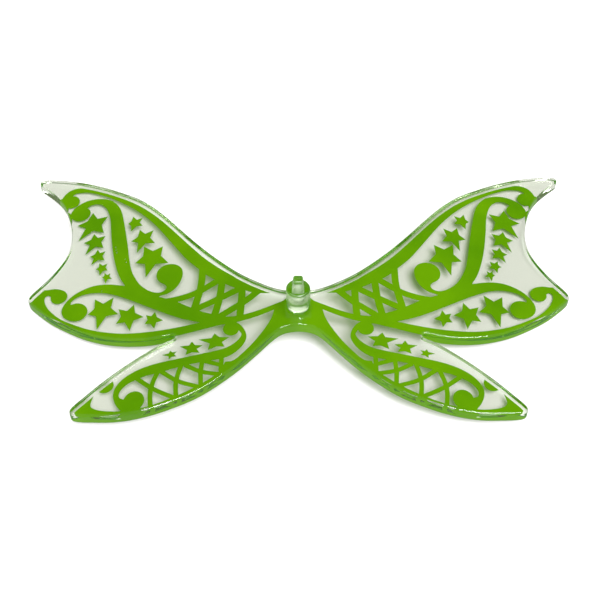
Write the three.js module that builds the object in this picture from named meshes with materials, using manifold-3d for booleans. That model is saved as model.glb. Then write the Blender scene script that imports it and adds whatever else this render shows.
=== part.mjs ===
// Plug-in fairy wings for a fashion doll: one clear moulding, a flat wing plate folded a little along
// its middle with a keyed plug peg on it, and a green ink pattern printed on the face away from the peg.
// Millimetres. +Z is the peg's axis, +X is the span, +Y points to the upper wing tips.
import * as THREE from "three";
import { mergeGeometries, mergeVertices } from "three/addons/utils/BufferGeometryUtils.js";
import Module from "manifold-3d";

const wasm = await Module();
wasm.setup();

// ---- Sizes -----------------------------------------------------------------------------------------

const SPAN = 149.4; // upper tip to upper tip
const HEIGHT = 84.4; // upper tips to the lowest edge of the lower wings
const PLATE_THICKNESS = 3.4;
const EDGE_ROUND = 0.7; // rounding of the plate's top and bottom edges
const TIP_SHARE = 0.9; // of the tightest tip's radius, for the edge's rounding and the ink's margin
const FOLD_ANGLE = 5; // degrees that each wing falls away from the middle fold

const PEG_DIAMETER = 6.1;
const PEG_LENGTH = 8; // from the plate's top face at the fold to the peg's shoulder
const PEG_Y = -2.6; // the peg's axis, on the bridge between the wings
const PEG_CHAMFER = 0.6;
const PEG_FILLET = 0.5;
const KEY_WIDTH = 3.1; // across the span, at its foot
const KEY_DEPTH = 4.1;
const KEY_LENGTH = 3.4;
const KEY_CORNER = 0.6;
const KEY_TOP_ROUND = 0.4;
const KEY_SIDE_TAPER = 0.24; // share of its width that the key loses over its length
const KEY_FACE_TAPER = 0.46; // share of its depth that it loses

const INK_THICKNESS = 0.12;
const INK_CLEARANCE = 0.02; // between the plate's printed face and the ink
const INK_MARGIN = 0.1; // bare flat between the ink and the edge's rounding
const UPPER_BAR_WIDTH = 1.9; // crossed bars of the upper wings
const LOWER_BAR_WIDTH = 1.2; // crossed bars of the lower wings
const STAR_WAIST = 0.5; // a star's inner corners, as a share of its arm

const CHORD_ERROR = 0.04; // how far a traced curve may stray from the true one
const SHORTEST_EDGE = 0.08; // in the outline of the joined scrollwork
const PEG_SIDES = 48;

// ---- Drawing: one wing, from the fold to its tips ------------------------------------------------------
// Points are drawn for a span of 149.4 and a height of 84.4. A third value, 1, marks a sharp corner.

const DRAWN_SPAN = 149.4;
const DRAWN_HEIGHT = 84.4;
const WING_EDGE = [
  // the valley between the upper wings, then the leading edge out to the upper tip
  [0, 3.5], [3, 3.85], [6, 4.85], [10, 7.05], [15, 10.45], [20, 14.85], [25, 19.85], [30, 25.5],
  [35, 31.5], [40, 37], [45, 41.25], [50, 44.15], [55, 46.65], [60, 48.65], [65, 50.15], [70, 51.15],
  [72.6, 51.5], [74, 51.35], [74.7, 50.5], [74.4, 49.4], [73.4, 48.5],
  // the hollow outer edge down to the middle tip
  [70, 45.2], [67, 41.5], [65, 37.5], [63.6, 33], [62.7, 29], [62.5, 26], [62.9, 22], [64.2, 18.2],
  [67, 13.2], [70, 9.2], [71.3, 7.4], [71.7, 6.2], [71.2, 5],
  // the upper wing's lower edge, in to the notch
  [69, 2.7], [65, -0.8], [60, -4.1], [55, -6.8], [50, -8.6], [45, -9.6], [40, -9.9], [36, -9.6],
  [33.2, -9], [31.8, -8.8], [31.2, -9.3], [31.7, -9.9],
  // the lower wing's upper edge out to the lower tip, and its lower edge back to the fold
  [34, -11], [36, -12.2], [40, -15], [45, -19], [50, -23.6], [53, -26.75], [55.2, -29.1], [56, -30.4],
  [55.5, -31.7], [53.6, -32.3], [50, -32.65], [45, -32.9], [40, -32.4], [35, -31.2], [30, -29.4],
  [25, -27.1], [20, -23.7], [15, -19.5], [10, -14.4], [6.8, -10.9], [4.4, -8.9], [2.4, -8.25], [0, -8.1],
];

// Bands of the scrollwork. Some run past the edge, where the bare margin trims them.
const MAIN_BAND = [
  [0, 2.9, 1], [3, 2], [6, 0.75], [10, -0.9], [14, -2.1], [18.4, -2.5], [22.4, -1.3], [26, 0.2],
  [29, 1.9], [32, 3.7], [36, 5.4], [41, 7.6], [46.2, 10.2, 1], [49.5, 10.9], [52.5, 11.1], [55, 10.7],
  [57.5, 9.6], [59.7, 8], [61.3, 6], [62.2, 4], [62.3, 2.3], [61.6, 0.7], [60.3, -0.4],
  [58.4, -1], [56.6, -0.5], [55.6, 0.8], [55.4, 2.4], [56, 3.8], [57.2, 4.8], [58.8, 5.1],
  [60.1, 4.7, 1], [60.2, 5.5], [59.3, 6.7], [57.6, 7.7], [55.2, 8.3], [52.5, 8.25], [50, 7.7],
  [47.5, 6.7], [45, 5.5], [40, 2.8], [35, 0.1], [30, -2.3], [25.2, -3.9, 1], [20, -5], [15, -4.3],
  [10, -2.75], [6.15, -1.05, 1], [0, -1.05, 1],
];
const LEADING_BAND = [
  [6.1, 4.5, 1], [10, 6.3], [15, 9.7], [20, 13.5], [25, 18.1], [30, 23.9], [35, 30], [40, 35.6],
  [45, 40], [50, 43.3], [55, 46], [60, 48], [63.3, 48.6], [65.7, 47.7], [67.1, 45.9], [67.6, 43.8],
  [66.9, 42], [65.4, 40.9], [63.9, 40.9], [62.7, 41.8], [62.3, 43.2], [62.8, 44.6], [63.7, 45.4],
  [64.7, 45.6, 1], [63.8, 46.5], [62, 46.75], [60, 46.6], [55, 44.6], [50, 41.6], [45, 37.7],
  [40, 32.4], [35, 25.4], [30, 18.3], [26.5, 14.5, 1], [24.4, 12.3], [22, 10.4], [19.2, 8.7],
  [16.7, 7.2], [13.7, 6], [12, 5.2], [9.8, 4.8, 1],
];
const S_BAND = [
  [46.2, 10.2], [47.4, 12.4], [48.6, 15.2], [50, 19.8], [51.1, 25], [51.9, 30], [52.6, 35],
  [53.2, 37.3], [54.1, 39.5], [55.4, 41], [57, 41.7], [58.6, 41.4], [59.9, 40.4, 1], [59, 39.6],
  [58.65, 38.2], [59.2, 36.6], [60.6, 35.5], [62.3, 35.5], [63.7, 36.5], [64.25, 38.2], [63.6, 40.2],
  [62.1, 41.9], [60.2, 43.1], [58, 43.7], [55.5, 43.6], [53.2, 42.8], [51.3, 41], [49.9, 38.5],
  [48.9, 35], [47.8, 30], [46.8, 25], [45.9, 20], [44.8, 15.4], [43.6, 12.7], [42.2, 10.4],
  [40.4, 8.6], [38.4, 7.4], [36.6, 7.1], [35.3, 7.8], [34.9, 8.9], [35.5, 9.9], [36.7, 10.7],
  [37.6, 11.9], [37.9, 13.4], [37.6, 14.9], [36.6, 16.2], [35.2, 16.9], [33.6, 16.9], [32.1, 16.2],
  [31.1, 14.9], [30.8, 13.3], [31, 11.4], [31.8, 9.3], [33.1, 7.6], [34.6, 6.5], [36.3, 6, 1],
  [38.5, 4.5], [43, 5], [46.2, 7.5],
];
const UPPER_HEM = [
  [16, -3.6, 1], [20, -3.4], [25.2, -3.9], [30, -4.9], [35, -5.7], [40, -6.1], [45, -6.1],
  [50, -5.3], [55, -3.8], [60, -1.4], [62.5, 0.1], [65, 2.4], [66.6, 4.5], [67.5, 6.7], [67.4, 7.9],
  [66.7, 8.4], [65.9, 7.9, 1], [65.8, 6.9], [65.1, 5.8], [63.9, 5.3], [62.5, 5.7], [61.6, 6.8],
  [61.5, 8.2], [62.3, 9.5], [63.8, 10.3], [65.5, 10.6], [67, 10.4], [70, 10.6, 1], [75, 7, 1],
  [68, -3, 1], [58, -8.6, 1], [48, -12, 1], [40, -11.6, 1], [36, -10.6, 1], [33, -9.6, 1],
  [31.2, -9.3, 1], [30.9, -7.8, 1], [28, -7.1], [24, -6.1], [20, -5.1], [16, -4.4, 1],
];
const LOWER_HEM = [
  [0, 1.5, 1], [3, 0.8, 1], [6.15, -1.05, 1], [6.6, -3.1], [7.6, -5.5], [9.2, -8.3], [11.2, -11.3],
  [13.7, -14.3], [15.5, -16.2], [16.7, -16.9], [18.3, -17, 1], [19.2, -19.6], [21, -21.3],
  [24, -23.4], [27, -25.2], [30, -26.7], [33, -28], [36, -29.1], [39, -29.8], [43.8, -30.3],
  [47, -30.1], [49.8, -29.4], [51, -28.5], [51.1, -27.2], [50.6, -25.3, 1], [52, -22, 1],
  [58, -28, 1], [56, -35, 1], [44, -35.5, 1], [34, -33.5, 1], [24, -29.5, 1], [12, -19.5, 1],
  [4, -10.5, 1], [0, -10.5, 1],
];
const LOWER_SCROLL = [
  [18.4, -15.7], [21, -16.2], [25, -16.8], [28, -17.3], [31, -18.1], [35, -19.3], [38, -20],
  [40.4, -21, 1], [42.2, -22.1], [43.6, -23.5], [44.3, -25], [44.1, -26.3], [43, -26.9, 1],
  [42.5, -25.8], [41.5, -24.9], [40.2, -24.6], [38.9, -25.1], [38, -26.3], [37.8, -27.7],
  [38.3, -29.1], [39.2, -30.4, 1], [41, -31.2, 1], [43.5, -30.2, 1], [44.7, -28.6], [45.5, -26.8],
  [45.8, -25], [45.3, -22.9], [43.8, -20.7], [41.3, -18.7], [38.2, -17.2], [35, -16.2],
  [30, -15.2], [25, -14.2], [20.5, -13.3], [18.2, -12.6], [16.3, -11.4], [14.9, -9.9],
  [14.4, -8.6], [15.1, -7.2, 1], [15.5, -8.1], [16.5, -8.7], [17.8, -8.6], [18.8, -7.8],
  [19.2, -6.6], [18.9, -5.4], [17.8, -4.3], [16.3, -4.3], [14.7, -5.5], [13.5, -7.5],
  [13.1, -9.6], [13.7, -11.6], [15, -13.4], [16.6, -14.8],
];

// Crossed bars, each a line through its points: the first three of a wing stand up, the rest lie across.
const UPPER_BARS = [
  [[14.6, 8], [14.7, 3], [15, -3.2]],
  [[20, 10.8], [20.5, 4], [21.6, -2]],
  [[25.5, 15.2], [25.7, 8], [27.3, -0.5]],
  [[10.3, 5.7], [13.7, 2.4], [17, 0], [20.5, -2.5]],
  [[14.3, 7.3], [17.5, 5.5], [21.5, 3.3], [29, -0.6]],
  [[20, 10.9], [23, 8.7], [26.8, 6.2], [30, 4.9], [34.5, 4], [38, 4.2]],
];
const LOWER_BARS = [
  [[19.2, -14.5], [19.2, -20.6]],
  [[24, -15.8], [24.3, -20], [24, -24.4]],
  [[29.1, -16.6], [30.1, -20.8], [30.3, -23.5], [29.9, -27.6]],
  [[34.9, -18.4], [36.2, -22.6], [36.5, -25.7], [36, -30.2]],
  [[18.9, -18.1], [23.5, -16.4]],
  [[18.9, -20.9], [24.3, -19.6], [28.4, -17.3]],
  [[24.1, -24.4], [29.8, -22.2], [34.4, -18.8]],
  [[29.2, -27.8], [35.8, -24.2], [40.6, -20.4]],
];

// Stars: the centre, then the five tips in turn.
const STARS = {
  outer: [
    [[57.3, 33.7], [57.9, 38.3], [61.8, 33.6], [60.8, 27.8], [54, 30.3], [53.5, 36.5]],
    [[56, 26.9], [56.7, 30], [59.2, 26.8], [58.3, 22.4], [53.5, 24.6], [53.4, 29]],
    [[54.7, 21.5], [55, 24], [56.9, 21.5], [56.2, 18.5], [52.7, 19.9], [52.8, 23.2]],
    [[53.1, 17], [54, 18.9], [54.8, 16.8], [53.5, 14.6], [51.5, 16.2], [51.8, 18.6]],
    [[51.5, 13.7], [52.2, 15.3], [52.7, 13.7], [51.6, 11.5], [50, 13.1], [50.6, 15]],
  ],
  middle: [
    [[45.5, 33.2], [46.2, 35.8], [47.4, 33.1], [46.3, 30.2], [43.3, 32.1], [43.5, 35]],
    [[42.6, 27], [43.9, 30.5], [45.9, 26.3], [44, 21.9], [39.3, 25.2], [40, 30]],
    [[39.7, 19.6], [42.2, 24.1], [44.1, 18.1], [40.8, 12.8], [35, 17.5], [36.9, 23.7]],
  ],
  lower: [
    [[51.4, 2.1], [53.8, 6.1], [55.1, 1], [52.2, -4.2], [47.1, 0.6], [48.8, 6.4]],
    [[44.2, -0.5], [47.1, 2.2], [47.3, -2.6], [43.5, -5.3], [40.2, -0.9], [43.1, 3.5]],
    [[37.7, -2.1], [39.6, -0.4], [39.7, -3.3], [37.1, -5], [35, -2.4], [37.3, 0.6]],
  ],
  hind: [
    [[20.9, -10.4], [21.3, -7.8], [25.3, -9.5], [22.8, -13], [18.6, -12.2], [17.5, -9.3]],
    [[26.9, -12.2], [27, -10], [30, -11.4], [28.4, -14.1], [24.9, -13.7], [24.2, -11.4]],
    [[32.1, -13.8], [32.4, -12.5], [34.4, -13.8], [32.6, -15.2], [30.7, -14.4], [30.7, -12.9]],
  ],
};
const EDGE_DOT = { x: 48.1, y: -22.4, radius: 2.2 }; // the upper edge's margin cuts it to half a disc

// ---- Helpers ---------------------------------------------------------------------------------------

const scaleX = SPAN / DRAWN_SPAN;
const scaleY = HEIGHT / DRAWN_HEIGHT;
const fall = Math.tan(THREE.MathUtils.degToRad(FOLD_ANGLE));

function asSolid(geometry) {
  const bare = geometry.clone();
  bare.deleteAttribute("normal");
  bare.deleteAttribute("uv");
  const merged = mergeVertices(bare);
  const mesh = new wasm.Mesh({
    numProp: 3,
    vertProperties: new Float32Array(merged.attributes.position.array),
    triVerts: new Uint32Array(merged.index.array),
  });
  return new wasm.Manifold(mesh);
}

function asGeometry(solid) {
  const mesh = solid.getMesh();
  const geometry = new THREE.BufferGeometry();
  geometry.setAttribute("position", new THREE.BufferAttribute(mesh.vertProperties, 3));
  geometry.setIndex(new THREE.BufferAttribute(mesh.triVerts, 1));
  return geometry;
}

// Adds the curve's points from one parameter to the next, close together where it bends.
function traceSpan(curve, from, to, points) {
  const start = curve.getPoint(from);
  const end = curve.getPoint(to);
  const middle = curve.getPoint((from + to) / 2);
  const stray = middle.distanceTo(start.clone().add(end).multiplyScalar(0.5));
  if (stray > CHORD_ERROR) {
    traceSpan(curve, from, (from + to) / 2, points);
    traceSpan(curve, (from + to) / 2, to, points);
  } else {
    points.push(new THREE.Vector2(end.x, end.y));
  }
}

function tracedCurve(places, closed) {
  const knots = places.map(([x, y]) => new THREE.Vector3(x * scaleX, y * scaleY, 0));
  const curve = new THREE.CatmullRomCurve3(knots, closed, "centripetal");
  const spans = closed ? knots.length : knots.length - 1;
  const points = closed ? [] : [new THREE.Vector2(knots[0].x, knots[0].y)];
  for (let i = 0; i < spans; i++) traceSpan(curve, i / spans, (i + 1) / spans, points);
  return points;
}

// A closed outline through the places, smooth except at the marked corners.
function tracedOutline(places) {
  const corner = places.findIndex((place) => place[2]);
  if (corner < 0) return tracedCurve(places, true);
  const turned = [...places.slice(corner), ...places.slice(0, corner + 1)];
  const points = [];
  let run = [turned[0]];
  for (const place of turned.slice(1)) {
    run.push(place);
    if (place[2]) {
      points.push(...tracedCurve(run, false).slice(1));
      run = [place];
    }
  }
  return points;
}

function slab(points, bottom, thickness) {
  const geometry = new THREE.ExtrudeGeometry(new THREE.Shape(points), {
    depth: thickness,
    bevelEnabled: false,
  });
  return asSolid(geometry.translate(0, 0, bottom));
}

// A bar of even width along a curve through the places.
function barOutline(places, width) {
  const line = tracedCurve(places, false);
  const sides = [[], []];
  line.forEach((point, i) => {
    const before = line[Math.max(i - 1, 0)];
    const after = line[Math.min(i + 1, line.length - 1)];
    const along = after.clone().sub(before).normalize();
    const across = new THREE.Vector2(-along.y, along.x).multiplyScalar(width / 2);
    sides[0].push(point.clone().add(across));
    sides[1].unshift(point.clone().sub(across));
  });
  return [...sides[0], ...sides[1]];
}

function starOutline([centre, ...tips]) {
  const [cx, cy] = [centre[0] * scaleX, centre[1] * scaleY];
  const arms = tips.map(([x, y]) => new THREE.Vector2(x * scaleX - cx, y * scaleY - cy));
  const lengths = arms.map((arm) => arm.length());
  const waist = STAR_WAIST * [...lengths].sort((a, b) => a - b)[2];
  const points = [];
  arms.forEach((arm, i) => {
    const next = arms[(i + 1) % arms.length];
    const between = arm.clone().normalize().add(next.clone().normalize()).normalize();
    points.push(arm.clone(), between.multiplyScalar(waist));
  });
  return points.map((point) => point.add(new THREE.Vector2(cx, cy)));
}

// The directions inwards at an outline's points.
function inwardNormals(points) {
  const turn = THREE.ShapeUtils.isClockWise(points) ? -1 : 1;
  return points.map((point, i) => {
    const before = points[(i + points.length - 1) % points.length];
    const after = points[(i + 1) % points.length];
    const along = after.clone().sub(before).normalize();
    return new THREE.Vector2(-along.y, along.x).multiplyScalar(turn);
  });
}

function insetOutline(points, distance) {
  const normals = inwardNormals(points);
  return points.map((point, i) => normals[i].clone().multiplyScalar(distance).add(point));
}

// The radius of an outline's tightest tip: how far two neighbouring points can move in before they meet.
function tightestRadius(points) {
  const normals = inwardNormals(points);
  const radii = points.map((point, i) => {
    const k = (i + 1) % points.length;
    const step = points[k].clone().sub(point);
    const closing = normals[i].clone().sub(normals[k]).dot(step);
    return closing > 0 ? step.lengthSq() / closing : Infinity;
  });
  return Math.min(...radii);
}

// The loops round the top face of a flat film.
function topLoops(film, top) {
  const { vertProperties: place, triVerts } = film.getMesh();
  const edges = new Set();
  for (let i = 0; i < triVerts.length; i += 3) {
    const face = [triVerts[i], triVerts[i + 1], triVerts[i + 2]];
    if (face.some((corner) => Math.abs(place[3 * corner + 2] - top) > 1e-4)) continue;
    face.forEach((corner, k) => edges.add(`${corner} ${face[(k + 1) % 3]}`));
  }
  const next = new Map();
  for (const edge of edges) {
    const [from, to] = edge.split(" ");
    if (!edges.has(`${to} ${from}`)) next.set(from, to);
  }
  const loops = [];
  while (next.size) {
    const loop = [];
    let corner = next.keys().next().value;
    while (next.has(corner)) {
      loop.push(new THREE.Vector2(place[3 * corner], place[3 * corner + 1]));
      const following = next.get(corner);
      next.delete(corner);
      corner = following;
    }
    loops.push(loop);
  }
  return loops;
}

// Leaves out a loop's points that lie on a straight run or almost on each other.
function tidyLoop(loop) {
  const kept = [];
  loop.forEach((point, i) => {
    const last = kept.length ? kept[kept.length - 1] : loop[loop.length - 1];
    const after = loop[(i + 1) % loop.length];
    const onFold = Math.abs(point.x) < 1e-6;
    const run = after.clone().sub(last);
    const stray = Math.abs(run.cross(point.clone().sub(last))) / Math.max(run.length(), 1e-9);
    if (onFold || (stray > 1e-3 && point.distanceTo(last) > SHORTEST_EDGE)) kept.push(point);
  });
  return kept;
}

// Joins flat films into one and draws it again from its own outline, with its windows as holes.
function joinedFilm(films, limits) {
  const whole = films.reduce((sum, film) => sum.add(film)).intersect(limits);
  const loops = topLoops(whole, inkBottom + INK_THICKNESS).map(tidyLoop);
  const rims = loops.filter((loop) => !THREE.ShapeUtils.isClockWise(loop));
  const windows = loops.filter((loop) => loop.length > 2 && THREE.ShapeUtils.isClockWise(loop));
  const shape = new THREE.Shape(rims.sort((a, b) => b.length - a.length)[0]);
  shape.holes = windows.map((loop) => new THREE.Path(loop));
  const settings = { depth: INK_THICKNESS, bevelEnabled: false };
  return asSolid(new THREE.ExtrudeGeometry(shape, settings).translate(0, 0, inkBottom));
}

// Folds a flat half downwards from the middle, towards +X.
function folded(geometry) {
  return geometry.applyMatrix4(new THREE.Matrix4().makeShear(0, -fall, 0, 0, 0, 0));
}

function mirrored(geometry) {
  const other = geometry.clone().scale(-1, 1, 1);
  const index = other.index.array;
  for (let i = 0; i < index.length; i += 3) {
    [index[i + 1], index[i + 2]] = [index[i + 2], index[i + 1]];
  }
  return other;
}

// Folds a flat half that ends on the middle plane, and joins it to its mirror image there: both lose
// the wall that they share, and their edges along the fold meet.
function bothHalves(flatHalf) {
  const right = folded(asGeometry(flatHalf));
  const { array } = right.attributes.position;
  const index = right.index.array;
  const kept = [];
  for (let i = 0; i < index.length; i += 3) {
    const face = [index[i], index[i + 1], index[i + 2]];
    if (face.some((corner) => Math.abs(array[3 * corner]) > 1e-6)) kept.push(...face);
  }
  right.setIndex(kept);
  return asSolid(mergeGeometries([right, mirrored(right)]));
}

// ---- Wing plate ------------------------------------------------------------------------------------

const leftEdge = WING_EDGE.slice(1, -1).reverse().map(([x, y]) => [-x, y]);
const wholeEdge = tracedCurve([...WING_EDGE, ...leftEdge], true);
const edgeRound = Math.min(EDGE_ROUND, TIP_SHARE * tightestRadius(wholeEdge) - INK_MARGIN);
const halfSpace = asSolid(
  new THREE.BoxGeometry(SPAN, 2 * HEIGHT, 40).translate(SPAN / 2, 0, 0),
);

const flatPlate = new THREE.ExtrudeGeometry(new THREE.Shape(wholeEdge), {
  depth: PLATE_THICKNESS - 2 * edgeRound,
  bevelEnabled: true,
  bevelSegments: 2,
  bevelSize: edgeRound,
  bevelThickness: edgeRound,
  bevelOffset: -edgeRound,
}).translate(0, 0, edgeRound - PLATE_THICKNESS);
const plate = bothHalves(asSolid(flatPlate).intersect(halfSpace));

// ---- Plug peg --------------------------------------------------------------------------------------

const pegRadius = PEG_DIAMETER / 2;
const pegFoot = pegRadius + PEG_FILLET;
const footTop = -fall * pegFoot; // where the folded plate's top face meets the fillet at the sides
const pegProfile = [
  [0, -PLATE_THICKNESS / 2],
  [pegFoot, -PLATE_THICKNESS / 2],
  [pegFoot, footTop],
];
for (let i = 1; i <= 4; i++) {
  const angle = (i * Math.PI) / 8;
  const out = pegFoot - PEG_FILLET * Math.sin(angle);
  pegProfile.push([out, footTop + 1.5 * PEG_FILLET * (1 - Math.cos(angle))]);
}
pegProfile.push([pegRadius, PEG_LENGTH - PEG_CHAMFER]);
pegProfile.push([pegRadius - PEG_CHAMFER, PEG_LENGTH], [0, PEG_LENGTH]);
const peg = new THREE.LatheGeometry(
  pegProfile.map(([radius, z]) => new THREE.Vector2(radius, z)),
  PEG_SIDES,
)
  .rotateX(Math.PI / 2)
  .translate(0, PEG_Y, 0);

// The key starts a little way down inside the peg, so that the two are one body.
function keyGeometry() {
  const [w, d, r] = [KEY_WIDTH / 2, KEY_DEPTH / 2, KEY_CORNER];
  const section = new THREE.Shape();
  section.absarc(w - r, d - r, r, 0, Math.PI / 2);
  section.absarc(r - w, d - r, r, Math.PI / 2, Math.PI);
  section.absarc(r - w, r - d, r, Math.PI, 1.5 * Math.PI);
  section.absarc(w - r, r - d, r, 1.5 * Math.PI, 2 * Math.PI);
  const sunk = PEG_CHAMFER;
  const geometry = new THREE.ExtrudeGeometry(section, {
    depth: KEY_LENGTH + sunk - KEY_TOP_ROUND,
    curveSegments: 4,
    bevelSegments: 2,
    bevelSize: KEY_TOP_ROUND,
    bevelThickness: KEY_TOP_ROUND,
    bevelOffset: -KEY_TOP_ROUND,
  }).translate(0, 0, -sunk);
  const position = geometry.attributes.position;
  for (let i = 0; i < position.count; i++) {
    const up = Math.max(position.getZ(i), 0) / KEY_LENGTH;
    const [x, y] = [position.getX(i), position.getY(i)];
    position.setXY(i, x * (1 - KEY_SIDE_TAPER * up), y * (1 - KEY_FACE_TAPER * up));
  }
  return geometry.translate(0, PEG_Y, PEG_LENGTH);
}

const moulding = plate.add(asSolid(peg)).add(asSolid(keyGeometry()));

// ---- Ink -------------------------------------------------------------------------------------------

const inkBottom = -PLATE_THICKNESS - INK_CLEARANCE - INK_THICKNESS;
const printable = slab(
  insetOutline(wholeEdge, edgeRound + INK_MARGIN),
  inkBottom - 1,
  INK_THICKNESS + 2,
).intersect(halfSpace);

const inkFilm = (points) => slab(points, inkBottom, INK_THICKNESS);
const bands = [MAIN_BAND, LEADING_BAND, S_BAND, UPPER_HEM, LOWER_HEM, LOWER_SCROLL];
const scrollParts = [
  ...bands.map(tracedOutline),
  ...UPPER_BARS.map((bar) => barOutline(bar, UPPER_BAR_WIDTH)),
  ...LOWER_BARS.map((bar) => barOutline(bar, LOWER_BAR_WIDTH)),
].map(inkFilm);
const scrollwork = bothHalves(joinedFilm(scrollParts, printable));

// ---- Assembly --------------------------------------------------------------------------------------

const clearPlastic = new THREE.MeshStandardMaterial({
  color: "#d9e2d2",
  roughness: 0.08,
  metalness: 0,
  transparent: true,
  opacity: 0.4,
});
const greenInk = new THREE.MeshStandardMaterial({
  color: "#63a200",
  roughness: 0.45,
  metalness: 0,
});

const wings = new THREE.Group();
function addPiece(name, geometry, material) {
  geometry.computeVertexNormals();
  const mesh = new THREE.Mesh(geometry, material);
  mesh.name = name;
  wings.add(mesh);
}

addPiece("wing_moulding", asGeometry(moulding), clearPlastic);
addPiece("ink_scrollwork", asGeometry(scrollwork), greenInk);

function addInkPair(name, flatFilm) {
  const right = folded(asGeometry(flatFilm));
  addPiece(`${name}_right`, right, greenInk);
  addPiece(`${name}_left`, mirrored(right), greenInk);
}

for (const [row, stars] of Object.entries(STARS)) {
  stars.forEach((star, i) => addInkPair(`ink_star_${row}_${i + 1}`, inkFilm(starOutline(star))));
}
const dot = new THREE.Shape().absarc(
  EDGE_DOT.x * scaleX, EDGE_DOT.y * scaleY, EDGE_DOT.radius, 0, 2 * Math.PI,
);
addInkPair("ink_edge_dot", inkFilm(dot.getPoints(24).slice(1)).intersect(printable));

// The frame's origin is under the middle of the object, on the surface that the wing tips stand on.
const box = new THREE.Box3().setFromObject(wings);
wings.position.set(0, -(box.min.y + box.max.y) / 2, -box.min.z);

export default wings;
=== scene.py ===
# Plug-in fairy wings for a doll: one clear folded moulding with a keyed peg, and green ink printed on
# its underside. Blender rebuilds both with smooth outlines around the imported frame. Metres throughout.
import math
import random

import bpy
import numpy as np
from mathutils import Matrix, Vector, geometry


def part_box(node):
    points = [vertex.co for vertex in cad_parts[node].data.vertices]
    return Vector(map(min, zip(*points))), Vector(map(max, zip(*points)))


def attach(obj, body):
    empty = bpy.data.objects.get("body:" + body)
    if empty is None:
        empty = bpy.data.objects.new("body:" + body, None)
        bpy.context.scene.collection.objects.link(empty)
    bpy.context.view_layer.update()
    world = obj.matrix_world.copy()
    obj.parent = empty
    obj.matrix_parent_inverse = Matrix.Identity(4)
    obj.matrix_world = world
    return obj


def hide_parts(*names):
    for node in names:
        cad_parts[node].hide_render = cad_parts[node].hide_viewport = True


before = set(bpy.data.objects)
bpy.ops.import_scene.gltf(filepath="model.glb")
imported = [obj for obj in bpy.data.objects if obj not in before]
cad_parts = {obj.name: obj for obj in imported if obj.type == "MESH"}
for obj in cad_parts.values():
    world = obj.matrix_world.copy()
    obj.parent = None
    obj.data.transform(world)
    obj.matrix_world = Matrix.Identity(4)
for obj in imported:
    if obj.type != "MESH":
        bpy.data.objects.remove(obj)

MM = 0.001
random.seed(7)
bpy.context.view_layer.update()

# ---- Sizes shared with the CAD model -------------------------------------------------------------------

MOULDING = "wing_moulding"
PLATE_THICKNESS = 3.4 * MM
EDGE_ROUND = 0.7 * MM
FALL = math.tan(math.radians(5))  # how fast each wing falls away from the fold
FOLD_RADIUS = 0.5 * MM  # the fold's crease is a little soft
PEG_RADIUS = 3.05 * MM
PEG_LENGTH = 8 * MM
PEG_CHAMFER = 0.6 * MM
PEG_FLARE = 0.36 * MM  # how far the foot of the peg stands out
PEG_FLARE_HEIGHT = 1.1 * MM
KEY_HALF = (1.55 * MM, 2.05 * MM)  # half its width and half its depth, at its foot
KEY_LENGTH = 3.4 * MM
KEY_CORNER = 0.6 * MM
KEY_TOP_ROUND = 0.4 * MM
KEY_TAPER = (0.24, 0.46)  # shares of its width and depth that the key loses over its length
INK_CLEARANCE = 0.02 * MM

mould_low, mould_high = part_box(MOULDING)
FOLD_TOP = mould_high.z - PEG_LENGTH - KEY_LENGTH  # the plate's top face at the fold
PEG_Y = -11.9 * MM

# The printed film touches the plastic all over: its upper face lies just inside the plate.
INK_INSIDE = 0.03 * MM
INK_BELOW = 0.06 * MM

# ---- The fold ------------------------------------------------------------------------------------------


def drop(x):
    """How far the folded plate lies below its fold at x."""
    return FALL * np.sqrt(x * x + FOLD_RADIUS * FOLD_RADIUS)


def drop_slope(x):
    return FALL * x / np.sqrt(x * x + FOLD_RADIUS * FOLD_RADIUS)


def folded(points, level):
    """Flat points (x, y) at a level below or above the plate's top face, in the row frame."""
    points = np.asarray(points, float)
    z = FOLD_TOP + level - drop(points[:, 0])
    return np.column_stack([points, z])


# ---- Outlines, read from the CAD nodes -----------------------------------------------------------------

WELD = 0.002 * MM  # corners closer than this are one corner
LEVEL_TOLERANCE = 0.006 * MM
CORNER_TURN = math.radians(62)  # a sharper turn is a drawn corner
CORNER_REACH = 0.45 * MM  # so is one whose angle times its sides' mean length is more than this


def flat_triangles(node):
    """The node's welded corners and its triangles, with the fold taken out: z is 0 on the plate's top."""
    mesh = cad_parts[node].data
    mesh.calc_loop_triangles()
    corners = np.array([v.co for v in mesh.vertices], float)
    corners[:, 2] += FALL * np.abs(corners[:, 0]) - FOLD_TOP
    keys = np.round(corners / WELD).astype(int)
    _, first, same = np.unique(keys, axis=0, return_index=True, return_inverse=True)
    triangles = same.reshape(-1)[np.array([t.vertices for t in mesh.loop_triangles])]
    return corners[first], triangles


def loops_at(node, level):
    """The closed outlines at a level, along the upper edges of the walls below it."""
    corners, triangles = flat_triangles(node)
    at_level = np.abs(corners[:, 2] - level) < LEVEL_TOLERANCE
    follows = {}
    for triangle in triangles:
        on = at_level[triangle]
        if on.sum() != 2:
            continue
        third = int(np.flatnonzero(~on)[0])
        if corners[triangle[third], 2] < level:
            follows[triangle[(third + 1) % 3]] = triangle[(third + 2) % 3]
    loops = []
    while follows:
        start = next(iter(follows))
        loop, corner = [], start
        while corner in follows:
            loop.append(corners[corner, :2])
            corner = follows.pop(corner)
        if corner == start and len(loop) > 2:
            loops.append(np.array(loop))
    return loops


def area(loop):
    """The area inside a loop, positive where the loop runs anticlockwise."""
    x, y = loop[:, 0], loop[:, 1]
    return 0.5 * float(np.sum(x * np.roll(y, -1) - np.roll(x, -1) * y))


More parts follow.
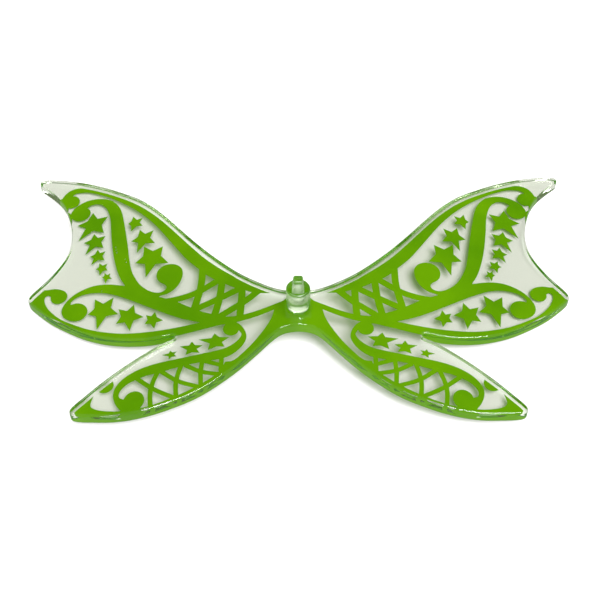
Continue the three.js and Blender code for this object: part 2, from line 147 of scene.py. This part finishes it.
def spline_span(p0, p1, p2, p3, count):
    """Points from p1 up to but not including p2 on the centripetal curve through all four."""
    knots = [0.0]
    for a, b in ((p0, p1), (p1, p2), (p2, p3)):
        knots.append(knots[-1] + max(np.linalg.norm(b - a), 1e-9) ** 0.5)
    t0, t1, t2, t3 = knots
    t = (t1 + (t2 - t1) * np.arange(count) / count)[:, None]
    a1 = ((t1 - t) * p0 + (t - t0) * p1) / (t1 - t0)
    a2 = ((t2 - t) * p1 + (t - t1) * p2) / (t2 - t1)
    a3 = ((t3 - t) * p2 + (t - t2) * p3) / (t3 - t2)
    b1 = ((t2 - t) * a1 + (t - t0) * a2) / (t2 - t0)
    b2 = ((t3 - t) * a2 + (t - t1) * a3) / (t3 - t1)
    return ((t2 - t) * b1 + (t - t1) * b2) / (t2 - t1)


def is_corner(before, here, after):
    """True where the drawing has a sharp corner, and False where it is a curve's own step."""
    a, b = here - before, after - here
    la, lb = np.linalg.norm(a), np.linalg.norm(b)
    turn = math.acos(max(-1.0, min(1.0, float(a @ b) / (la * lb))))
    return turn > CORNER_TURN or turn * (la + lb) / 2 > CORNER_REACH


def smoothed(loop, step):
    """The loop with each stepped curve drawn as a smooth one, and its sharp corners kept."""
    n = len(loop)
    corner = [is_corner(loop[i - 1], loop[i], loop[(i + 1) % n]) for i in range(n)]
    made = []
    for i in range(n):
        p1, p2 = loop[i], loop[(i + 1) % n]
        p0 = 2 * p1 - p2 if corner[i] else loop[i - 1]
        p3 = 2 * p2 - p1 if corner[(i + 1) % n] else loop[(i + 2) % n]
        count = max(1, round(np.linalg.norm(p2 - p1) / step))
        made.append(spline_span(p0, p1, p2, p3, count))
    return np.concatenate(made)


def evened(loop, step, soften):
    """A closed loop resampled at even steps, with its curvature evened out over a short length."""
    ring = np.vstack([loop, loop[:1]])
    along = np.concatenate([[0], np.cumsum(np.linalg.norm(np.diff(ring, axis=0), axis=1))])
    count = round(along[-1] / step)
    places = np.linspace(0, along[-1], count, endpoint=False)
    even = np.column_stack([np.interp(places, along, ring[:, k]) for k in (0, 1)])
    waves = np.fft.fftfreq(count, d=along[-1] / count) * 2 * math.pi
    fade = np.exp(-0.5 * (waves * soften) ** 2)
    return np.column_stack([np.fft.ifft(np.fft.fft(even[:, k]) * fade).real for k in (0, 1)])


def normals_of(loop):
    """Outward directions of a closed loop that runs anticlockwise."""
    along = np.roll(loop, -1, axis=0) - np.roll(loop, 1, axis=0)
    along /= np.linalg.norm(along, axis=1)[:, None]
    return np.column_stack([along[:, 1], -along[:, 0]])


# ---- Mesh building -------------------------------------------------------------------------------------

GRID_STEP = 2 * MM  # between the corners inside a flat face
FOLD_STRIP = 2.2 * MM  # how far the closer columns along the fold reach, and their places and step
FOLD_COLUMNS = [c * MM for c in (0, 0.2, 0.4, 0.7, 1.1, 1.6)]
FOLD_STEP = 0.7 * MM
SAME_POINT = 1e-9


def enclosed(loops, points):
    """True for each point that lies inside an odd number of the loops."""
    crossings = np.zeros(len(points), int)
    for loop in loops:
        low, high = loop.min(0), loop.max(0)
        near = np.flatnonzero(((points >= low) & (points <= high)).all(1))
        x, y = points[near, 0], points[near, 1]
        for (ax, ay), (bx, by) in zip(loop, np.roll(loop, -1, axis=0)):
            if ay != by:
                spans = (ay > y) != (by > y)
                crossings[near] += spans & (x < ax + (y - ay) * (bx - ax) / (by - ay))
    return crossings % 2 == 1


def anticlockwise(points, triangle):
    a, b, c = (points[i] for i in triangle)
    return (b[0] - a[0]) * (c[1] - a[1]) > (b[1] - a[1]) * (c[0] - a[0])


def fill(loops, clear):
    """Triangles that fill the loops, with the corners of a grid that stays clear of them. Returns points
    and triangles. The loops' own points come first and keep their order."""
    points = [Vector(p) for loop in loops for p in loop]
    edges, start = [], 0
    for loop in loops:
        n = len(loop)
        edges += [(start + i, start + (i + 1) % n) for i in range(n)]
        start += n
    rim = start
    points += [Vector(p) for p in grid_inside(loops, clear)]
    made, _, faces, came_from, _, _ = geometry.delaunay_2d_cdt(points, edges, [], 2, SAME_POINT)
    index, kept = {}, [tuple(p) for p in points[:rim]]
    for i, sources in enumerate(came_from):
        if sources and min(sources) < rim:
            index[i] = min(sources)
    triangles = []
    made = np.array(made)
    middles = made[np.array(faces)].mean(axis=1)
    for face in np.array(faces)[enclosed(loops, middles)].tolist():
        for i in face:
            if i not in index:
                index[i] = len(kept)
                kept.append(tuple(made[i]))
        triangles.append(tuple(index[i] for i in face))
    return np.array(kept), triangles


def distance_to(loops, points):
    """How far each point lies from the nearest of the loops' points."""
    edge = np.concatenate(loops)
    return np.array([np.sqrt(((edge - p) ** 2).sum(1).min()) for p in points])


def grid_inside(loops, clear):
    """A grid over the loops, closer together along the fold, that stays clear of the loops."""
    low = np.concatenate(loops).min(0)
    high = np.concatenate(loops).max(0)
    columns = set(np.round(np.arange(math.ceil(low[0] / GRID_STEP), high[0] / GRID_STEP) * GRID_STEP, 6))
    if low[0] < 0 < high[0]:
        columns = {c for c in columns if abs(c) >= FOLD_STRIP}
        columns |= {side * c for c in FOLD_COLUMNS for side in (-1, 1)}
    points = [
        (x, y)
        for x in sorted(columns)
        for y in np.arange(low[1], high[1], GRID_STEP if abs(x) > FOLD_STRIP else FOLD_STEP)
    ]
    points = np.array(points)
    return points[distance_to(loops, points) > clear]


def new_piece(name, points, faces, material, sharp, normals=None):
    """A smooth-shaded object, with sharp edges where faces meet at more than sharp degrees."""
    mesh = bpy.data.meshes.new(name)
    mesh.from_pydata([tuple(p) for p in points], [], [tuple(f) for f in faces])
    mesh.validate()
    mesh.update()
    mesh.shade_smooth()
    mesh.set_sharp_from_angle(angle=math.radians(sharp))
    if normals is not None:
        mesh.normals_split_custom_set_from_vertices([tuple(n) for n in normals])
    piece = bpy.data.objects.new(name, mesh)
    bpy.context.scene.collection.objects.link(piece)
    mesh.materials.append(material)
    return piece


# ---- Materials -----------------------------------------------------------------------------------------


class Nodes:
    """Short ways to lay out a material's nodes."""

    def __init__(self, name):
        self.material = bpy.data.materials.new(name)
        self.material.use_nodes = True
        self.tree = self.material.node_tree
        self.tree.nodes.clear()
        self.output = self.tree.nodes.new("ShaderNodeOutputMaterial")

    def add(self, kind, **values):
        node = self.tree.nodes.new(kind)
        for key, value in values.items():
            if hasattr(node, key):
                setattr(node, key, value)
            else:
                node.inputs[key.replace("_", " ")].default_value = value
        return node

    def link(self, source, target):
        self.tree.links.new(source, target)

    def noise(self, scale, detail, stretch=None):
        place = self.add("ShaderNodeTexCoord").outputs["Object"]
        if stretch:
            mapping = self.add("ShaderNodeMapping")
            mapping.inputs["Scale"].default_value = stretch
            mapping.inputs["Rotation"].default_value = (0, 0, 0.6)
            self.link(place, mapping.inputs["Vector"])
            place = mapping.outputs["Vector"]
        node = self.add("ShaderNodeTexNoise", Scale=scale, Detail=detail, Roughness=0.5)
        self.link(place, node.inputs["Vector"])
        return node.outputs["Fac"]

    def between(self, value, low, high, out_low, out_high):
        node = self.add("ShaderNodeMapRange")
        for key, number in zip(("From Min", "From Max", "To Min", "To Max"), (low, high, out_low, out_high)):
            node.inputs[key].default_value = number
        self.link(value, node.inputs["Value"])
        return node.outputs["Result"]

    def ramp(self, value, low, low_colour, high, high_colour):
        """A colour that runs from one to the other as the value goes from low to high."""
        node = self.add("ShaderNodeValToRGB")
        for element, place, colour in zip(node.color_ramp.elements, (low, high), (low_colour, high_colour)):
            element.position = place
            element.color = (*colour, 1)
        self.link(value, node.inputs["Fac"])
        return node.outputs["Color"]

    def finish(self, shader, seen):
        """The material shows the shader, but another one in each kind of ray that seen names."""
        path = self.add("ShaderNodeLightPath")
        surface = shader.outputs[0]
        for ray, other in seen.items():
            mix = self.add("ShaderNodeMixShader")
            self.link(path.outputs[ray], mix.inputs[0])
            self.link(surface, mix.inputs[1])
            self.link(other.outputs[0], mix.inputs[2])
            surface = mix.outputs[0]
        self.link(surface, self.output.inputs["Surface"])

    def finish_clear(self, shader, tint):
        """Lamps' light and the floor's own light pass straight through the surface, tinted."""
        clear = self.add("ShaderNodeBsdfTransparent")
        if isinstance(tint, tuple):
            clear.inputs["Color"].default_value = (*tint, 1)
        else:
            self.link(tint, clear.inputs["Color"])
        self.finish(shader, {"Is Shadow Ray": clear, "Is Diffuse Ray": clear})

    def bump(self, height, distance, strength, under=None):
        node = self.add("ShaderNodeBump")
        node.inputs["Strength"].default_value = strength
        node.inputs["Distance"].default_value = distance
        self.link(height, node.inputs["Height"])
        if under is not None:
            self.link(under, node.inputs["Normal"])
        return node.outputs["Normal"]


def clear_plastic():
    """Clear moulded plastic: a faint swell from the mould, fine handling scratches, a little haze."""
    n = Nodes("clear_moulded_plastic")
    shader = n.add("ShaderNodeBsdfPrincipled")
    shader.inputs["Base Color"].default_value = (0.96, 0.965, 0.955, 1)
    shader.inputs["Transmission Weight"].default_value = 1.0
    shader.inputs["IOR"].default_value = 1.5
    swell = n.noise(70, detail=1.0)
    scratches = n.noise(900, detail=2.0, stretch=(0.06, 1.6, 1.0))
    haze = n.noise(260, detail=4.0)
    split = n.add("ShaderNodeSeparateXYZ")
    n.link(n.add("ShaderNodeTexCoord").outputs["Object"], split.inputs["Vector"])
    # The peg's draw marks make it hazier than the plate.
    drawn = n.between(split.outputs["Z"], FOLD_TOP + 0.5 * MM, FOLD_TOP + 3 * MM, 0.0, 0.2)
    rough = n.add("ShaderNodeMath", operation="ADD")
    n.link(n.between(haze, 0.35, 0.75, 0.015, 0.07), rough.inputs[0])
    n.link(drawn, rough.inputs[1])
    n.link(rough.outputs[0], shader.inputs["Roughness"])
    normal = n.bump(swell, 0.00035, 0.25)
    normal = n.bump(n.between(scratches, 0.66, 0.74, 0, 1), 0.00002, 0.12, under=normal)
    n.link(normal, shader.inputs["Normal"])
    # Rounded edges and steep walls bend the light away, and leave a soft shadow line under them.
    turned = n.add("ShaderNodeLayerWeight", Blend=0.5).outputs["Facing"]
    n.finish_clear(shader, n.ramp(turned, 0.42, (0.85, 0.815, 0.86), 0.8, (0.25, 0.26, 0.23)))
    # Seen through its own length, the plastic is faintly green.
    depth = n.add("ShaderNodeVolumeAbsorption")
    depth.inputs["Color"].default_value = (0.78, 0.90, 0.66, 1)
    depth.inputs["Density"].default_value = 110.0
    n.link(depth.outputs[0], n.output.inputs["Volume"])
    return n.material


def green_ink():
    """Opaque printing ink: slightly uneven in density, with the fine grain of the print."""
    n = Nodes("green_printing_ink")
    shader = n.add("ShaderNodeBsdfPrincipled")
    green = n.ramp(n.noise(45, detail=5.0), 0.36, (0.098, 0.28, 0.0), 0.66, (0.15, 0.36, 0.0))
    n.link(green, shader.inputs["Base Color"])
    shader.inputs["Specular IOR Level"].default_value = 0.05
    n.link(n.between(n.noise(900, detail=3.0), 0.3, 0.7, 0.34, 0.48), shader.inputs["Roughness"])
    n.link(n.bump(n.noise(2600, detail=2.0), 0.00001, 0.3), shader.inputs["Normal"])
    n.finish_clear(shader, (0.36, 0.5, 0.22))
    return n.material


def floor_paper():
    """Matt white paper, a little uneven."""
    n = Nodes("studio_paper")
    shader = n.add("ShaderNodeBsdfPrincipled")
    white = n.ramp(n.noise(40, detail=3.0), 0, (0.90, 0.90, 0.89), 1, (0.93, 0.93, 0.925))
    n.link(white, shader.inputs["Base Color"])
    shader.inputs["Roughness"].default_value = 0.8
    shader.inputs["Specular IOR Level"].default_value = 0.2
    # Glossy plastic reflects a grey copy of the floor, darker than the floor itself: a painted dim
    # reflection, as if the floor lay behind a polarising filter.
    painted_dim_reflection = n.add("ShaderNodeBsdfDiffuse")
    painted_dim_reflection.inputs["Color"].default_value = (0.3, 0.3, 0.3, 1)
    n.finish(shader, {"Is Glossy Ray": painted_dim_reflection, "Is Transmission Ray": shader})
    return n.material


plastic = clear_plastic()
ink = green_ink()

# ---- The clear moulding --------------------------------------------------------------------------------

ARC_STEPS = 8  # in a quarter round
SHORT_ARC_STEPS = 6  # in the flare at the peg's foot, and in the key's rounded top
PEG_SIDES = 96
PEG_ANGLES = [2 * math.pi * i / PEG_SIDES for i in range(PEG_SIDES)]
PEG_DIRECTIONS = np.array([(math.cos(a), math.sin(a)) for a in PEG_ANGLES])
FOOT_RADIUS = PEG_RADIUS + PEG_FLARE
SHOULDER_RADIUS = PEG_RADIUS - PEG_CHAMFER - 0.04 * MM  # the shoulder's flat stays inside the chamfer
PLATE_CLEAR = 0.5 * MM  # between the grid on a face and the face's edge
OWN_NORMALS = [(0, 0, 0)] * PEG_SIDES  # where a normal is zero, Blender works it out


class Shell:
    """A mesh put together from rings of vertices."""

    def __init__(self):
        self.vertices, self.normals, self.faces = [], [], []

    def add(self, points, directions):
        """Adds vertices and returns their numbers."""
        start = len(self.vertices)
        self.vertices.extend(map(tuple, points))
        self.normals.extend(map(tuple, directions))
        return list(range(start, start + len(points)))

    def join(self, upper, lower):
        """A wall between two rings that run anticlockwise."""
        count = len(upper)
        for i in range(count):
            k = (i + 1) % count
            self.faces.append((upper[i], lower[i], lower[k], upper[k]))


def plate_outline():
    """The plate's outline at its widest, anticlockwise."""
    loop = max(loops_at(MOULDING, -EDGE_ROUND), key=len)
    if area(loop) < 0:
        loop = loop[::-1]
    return evened(smoothed(loop, step=0.15 * MM), step=0.3 * MM, soften=0.35 * MM)


def sheared(normal, x):
    """A flat plate's normal after the fold."""
    slope = -drop_slope(x)
    out = np.array([normal[0] - slope * normal[2], normal[1], normal[2]])
    return out / np.linalg.norm(out)


def rim_stations():
    """Inset, level and turn of each ring of the rim: a quarter round, the wall and a quarter round."""
    stations = []
    for step in range(ARC_STEPS + 1):
        turn = math.pi / 2 * step / ARC_STEPS
        stations.append((EDGE_ROUND * (1 - math.sin(turn)), -EDGE_ROUND * (1 - math.cos(turn)), turn))
    stations.append((0, -PLATE_THICKNESS / 2, math.pi / 2))
    for step in range(ARC_STEPS + 1):
        turn = math.pi / 2 * (1 + step / ARC_STEPS)
        level = -PLATE_THICKNESS + EDGE_ROUND * (1 + math.cos(turn))
        stations.append((EDGE_ROUND * (1 - math.sin(turn)), level, turn))
    return stations


def add_rim(shell, outline, out):
    """The plate's rim, from its top face to its bottom one. Returns the first ring and the last."""
    rings = []
    for inset, level, turn in rim_stations():
        flat = outline - out * inset
        tilt = [
            sheared((math.sin(turn) * o[0], math.sin(turn) * o[1], math.cos(turn)), p[0])
            for o, p in zip(out, flat)
        ]
        rings.append(shell.add(folded(flat, level), tilt))
    for upper, lower in zip(rings, rings[1:]):
        shell.join(upper, lower)
    return rings[0], rings[-1]


def add_face(shell, loops, rings, level, up):
    """A face of the plate inside the loops, whose vertices are the rings'."""
    points, triangles = fill(loops, PLATE_CLEAR)
    extra = points[len(rings):]
    side = 1 if up else -1
    own = rings + shell.add(folded(extra, level), [side * sheared((0, 0, 1), p[0]) for p in extra])
    for triangle in triangles:
        face = [own[i] for i in triangle]
        shell.faces.append(face if anticlockwise(points, triangle) == up else face[::-1])


def key_reach(angle, up, inset):
    """How far the key reaches from the peg's axis at an angle, and at a height above its foot."""
    half = [KEY_HALF[k] * (1 - KEY_TAPER[k] * up / KEY_LENGTH) - inset for k in (0, 1)]
    round_by = max(KEY_CORNER - inset, 0.15 * MM)
    c, s = abs(math.cos(angle)), abs(math.sin(angle))
    reach = min(half[0] / max(c, 1e-9), half[1] / max(s, 1e-9))
    centre = (half[0] - round_by, half[1] - round_by)
    if reach * c > centre[0] and reach * s > centre[1]:
        b = centre[0] * c + centre[1] * s
        reach = b + math.sqrt(max(b * b - centre[0] ** 2 - centre[1] ** 2 + round_by**2, 0))
    return reach


def circle(radius):
    """How far a round ring reaches at each of the peg's angles."""
    return [radius] * PEG_SIDES


def key_outline(up=0.0, inset=0.0, gap=0.0, share=1.0, most=math.inf):
    """How far a ring of the key's shape reaches at each of the peg's angles."""
    return [min(share * key_reach(a, up, inset) + gap, most) for a in PEG_ANGLES]


def round_axis(reaches):
    """Flat points round the peg's axis."""
    return np.array(reaches)[:, None] * PEG_DIRECTIONS + (0, PEG_Y)


def peg_profile():
    """The peg's rings from its foot up: how far each reaches, its height above the fold, and the share of
    the folded plate's own drop in it."""
    rings = []
    for step in range(1, SHORT_ARC_STEPS + 1):
        left = 1 - step / SHORT_ARC_STEPS
        rings.append((circle(PEG_RADIUS + PEG_FLARE * left**2), PEG_FLARE_HEIGHT * (1 - left), left))
    for height in (1.8, 3, 4.5, 6, 6.9):
        rings.append((circle(PEG_RADIUS), height * MM, 0))
    for step in range(ARC_STEPS + 1):
        turn = math.pi / 2 * step / ARC_STEPS
        radius = PEG_RADIUS - PEG_CHAMFER * (1 - math.cos(turn))
        rings.append((circle(radius), PEG_LENGTH - PEG_CHAMFER * (1 - math.sin(turn)), 0))
    # The flat shoulder, and a small fillet up to the key.
    for gap in (0.45, 0.25, 0.12):
        rings.append((key_outline(gap=gap * MM, most=SHOULDER_RADIUS), PEG_LENGTH, 0))
    for gap, height in ((0.05, 0.02), (0.015, 0.06), (0, 0.12)):
        rings.append((key_outline(gap=gap * MM), PEG_LENGTH + height * MM, 0))
    # The key's side, its rounded top edge and its top.
    side = KEY_LENGTH - KEY_TOP_ROUND
    for share in (0.3, 0.65, 1.0):
        rings.append((key_outline(share * side), PEG_LENGTH + share * side, 0))
    for step in range(1, SHORT_ARC_STEPS + 1):
        turn = math.pi / 2 * step / SHORT_ARC_STEPS
        up = side + KEY_TOP_ROUND * math.sin(turn)
        rings.append((key_outline(up, KEY_TOP_ROUND * (1 - math.cos(turn))), PEG_LENGTH + up, 0))
    for share in (0.6, 0.25):
        rings.append((key_outline(KEY_LENGTH, KEY_TOP_ROUND, share=share), PEG_LENGTH + KEY_LENGTH, 0))
    return rings


def add_peg(shell, foot_ring):
    """The peg and its key, on the ring at its foot."""
    foot_drop = drop(FOOT_RADIUS * PEG_DIRECTIONS[:, 0])
    below = foot_ring
    for reaches, height, drop_share in peg_profile():
        z = FOLD_TOP + height - foot_drop * drop_share
        ring = shell.add(np.column_stack([round_axis(reaches), z]), OWN_NORMALS)
        shell.join(ring, below)
        below = ring
    middle = shell.add([(0, PEG_Y, FOLD_TOP + PEG_LENGTH + KEY_LENGTH)], [(0, 0, 1)])[0]
    for i in range(PEG_SIDES):
        shell.faces.append((below[i], below[(i + 1) % PEG_SIDES], middle))


def build_moulding():
    outline = plate_outline()
    out = normals_of(outline)
    shell = Shell()
    top_ring, bottom_ring = add_rim(shell, outline, out)
    foot_loop = round_axis(circle(FOOT_RADIUS))
    foot_ring = shell.add(folded(foot_loop, 0), OWN_NORMALS)
    face_loop = outline - out * EDGE_ROUND
    add_face(shell, [face_loop, foot_loop], top_ring + foot_ring, 0, up=True)
    add_face(shell, [face_loop], bottom_ring, -PLATE_THICKNESS, up=False)
    add_peg(shell, foot_ring)
    piece = new_piece("clear_wing_moulding", shell.vertices, shell.faces, plastic, 55, shell.normals)
    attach(piece, "root")
    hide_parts(MOULDING)


# ---- The print -----------------------------------------------------------------------------------------

PRINT_CLEAR = 0.3 * MM  # between the grid on the film and the film's edge
CHIP_SIDES = 11
CHIP_ROOM = 0.6  # a chip takes at most this share of the way to the film's edge
CHIP_STRETCH = 1.3
# Where ink has chipped off, as x, y and radius in millimetres.
CHIPS = [
    (-50.1, 15.2, 0.34), (-49.9, 14.1, 0.22), (-49.6, 13.2, 0.3), (-47.0, 10.6, 0.2), (-46.6, 9.4, 0.26),
    (-52.3, -0.4, 0.2),
]


def chip_loops(loops):
    """The chips' ragged outlines."""
    made = []
    for x, y, radius in CHIPS:
        centre = np.array([x * MM, y * MM])
        room = distance_to(loops, [centre])[0]
        reach = min(radius * MM, CHIP_ROOM * room)
        ring = []
        for i in range(CHIP_SIDES):
            turn = 2 * math.pi * i / CHIP_SIDES
            r = reach * random.uniform(0.55, 1.0)
            ring.append(centre + np.array([r * math.cos(turn), CHIP_STRETCH * r * math.sin(turn)]))
        made.append(np.array(ring[::-1]))
    return made


def print_loops(node):
    """The outlines of one film of ink. Only a star keeps all its straight edges."""
    loops = loops_at(node, -PLATE_THICKNESS - INK_CLEARANCE)
    if "star" not in node:
        loops = [smoothed(loop, step=0.25 * MM) for loop in loops]
    if node == "ink_scrollwork":
        loops += chip_loops(loops)
    return loops


def build_print(node):
    points, triangles = fill(print_loops(node), PRINT_CLEAR)
    count = len(points)
    upper = folded(points, -PLATE_THICKNESS + INK_INSIDE)
    lower = folded(points, -PLATE_THICKNESS - INK_BELOW)
    triangles = [t if anticlockwise(points, t) else t[::-1] for t in triangles]
    faces = []
    for triangle in triangles:
        faces.append(triangle)
        faces.append([i + count for i in triangle[::-1]])
    edges = dict.fromkeys((t[i], t[(i + 1) % 3]) for t in triangles for i in range(3))
    for a, b in edges:
        if (b, a) not in edges:
            faces.append((b, a, a + count, b + count))
    piece = new_piece(node.replace("ink_", "print_"), np.vstack([upper, lower]), faces, ink, 40)
    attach(piece, "root")
    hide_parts(node)


build_moulding()
for node in sorted(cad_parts):
    if node.startswith("ink_"):
        build_print(node)

# ---- Stage ---------------------------------------------------------------------------------------------

FLOOR_REACH = 20.0
FLOOR_GAP = 0.02 * MM  # under the wing tips
SUN_DIRECTION = Vector((-0.3, 0.55, -1))

floor_mesh = bpy.data.meshes.new("studio_floor")
corners = [(x * FLOOR_REACH, y * FLOOR_REACH, 0) for x, y in ((-1, -1), (1, -1), (1, 1), (-1, 1))]
floor_mesh.from_pydata(corners, [], [(0, 1, 2, 3)])
floor = bpy.data.objects.new("studio_floor", floor_mesh)
floor.location.z = -FLOOR_GAP
floor_mesh.materials.append(floor_paper())
bpy.context.scene.collection.objects.link(floor)

# A large soft light from above and in front.
sun = bpy.data.lights.new("overhead_light", "SUN")
sun.energy = 4.6
sun.angle = math.radians(35)
lamp = bpy.data.objects.new("overhead_light", sun)
lamp.rotation_euler = SUN_DIRECTION.to_track_quat("-Z", "Y").to_euler()
bpy.context.scene.collection.objects.link(lamp)

# The studio round the floor is pale in front and olive behind.
world = bpy.data.worlds.new("studio")
world.use_nodes = True
studio = world.node_tree
background = studio.nodes["Background"]
background.inputs["Strength"].default_value = 0.45
place = studio.nodes.new("ShaderNodeTexCoord")
split = studio.nodes.new("ShaderNodeSeparateXYZ")
studio.links.new(place.outputs["Generated"], split.inputs["Vector"])
shade = studio.nodes.new("ShaderNodeValToRGB")
shade.color_ramp.elements[0].position = 0.0
shade.color_ramp.elements[0].color = (1, 1, 1, 1)
shade.color_ramp.elements[1].position = 0.45
shade.color_ramp.elements[1].color = (0.2, 0.34, 0.05, 1)
studio.links.new(split.outputs["Y"], shade.inputs["Fac"])
studio.links.new(shade.outputs["Color"], background.inputs["Color"])
bpy.context.scene.world = world
bpy.context.scene.view_settings.view_transform = "Standard"
# Light bounces many times inside the rounded rims.
for limit in ("max_bounces", "glossy_bounces", "transmission_bounces", "transparent_max_bounces"):
    setattr(bpy.context.scene.cycles, limit, 16)

# ---- Camera --------------------------------------------------------------------------------------------

CAMERA_TARGET = Vector((0.43, -9.3, 9.873)) * MM
CAMERA_DISTANCE = 300 * MM
CAMERA_AZIMUTH, CAMERA_ELEVATION, CAMERA_ROLL = (math.radians(d) for d in (0.29, 50, -0.53))

camera_data = bpy.data.cameras.new("camera")
camera_data.lens = 70
camera_data.sensor_width = 36
camera_data.clip_start = 0.01
camera_data.dof.use_dof = False
camera = bpy.data.objects.new("camera", camera_data)
back = Vector(
    (
        math.sin(CAMERA_AZIMUTH) * math.cos(CAMERA_ELEVATION),
        -math.cos(CAMERA_AZIMUTH) * math.cos(CAMERA_ELEVATION),
        math.sin(CAMERA_ELEVATION),
    )
)
right = Vector((0, 0, 1)).cross(back).normalized()
up = back.cross(right)
turned_right = math.cos(CAMERA_ROLL) * right + math.sin(CAMERA_ROLL) * up
turned_up = -math.sin(CAMERA_ROLL) * right + math.cos(CAMERA_ROLL) * up
camera.matrix_world = Matrix.Translation(CAMERA_TARGET + back * CAMERA_DISTANCE) @ Matrix(
    (turned_right, turned_up, back)
).transposed().to_4x4()
bpy.context.scene.collection.objects.link(camera)
bpy.context.scene.camera = camera
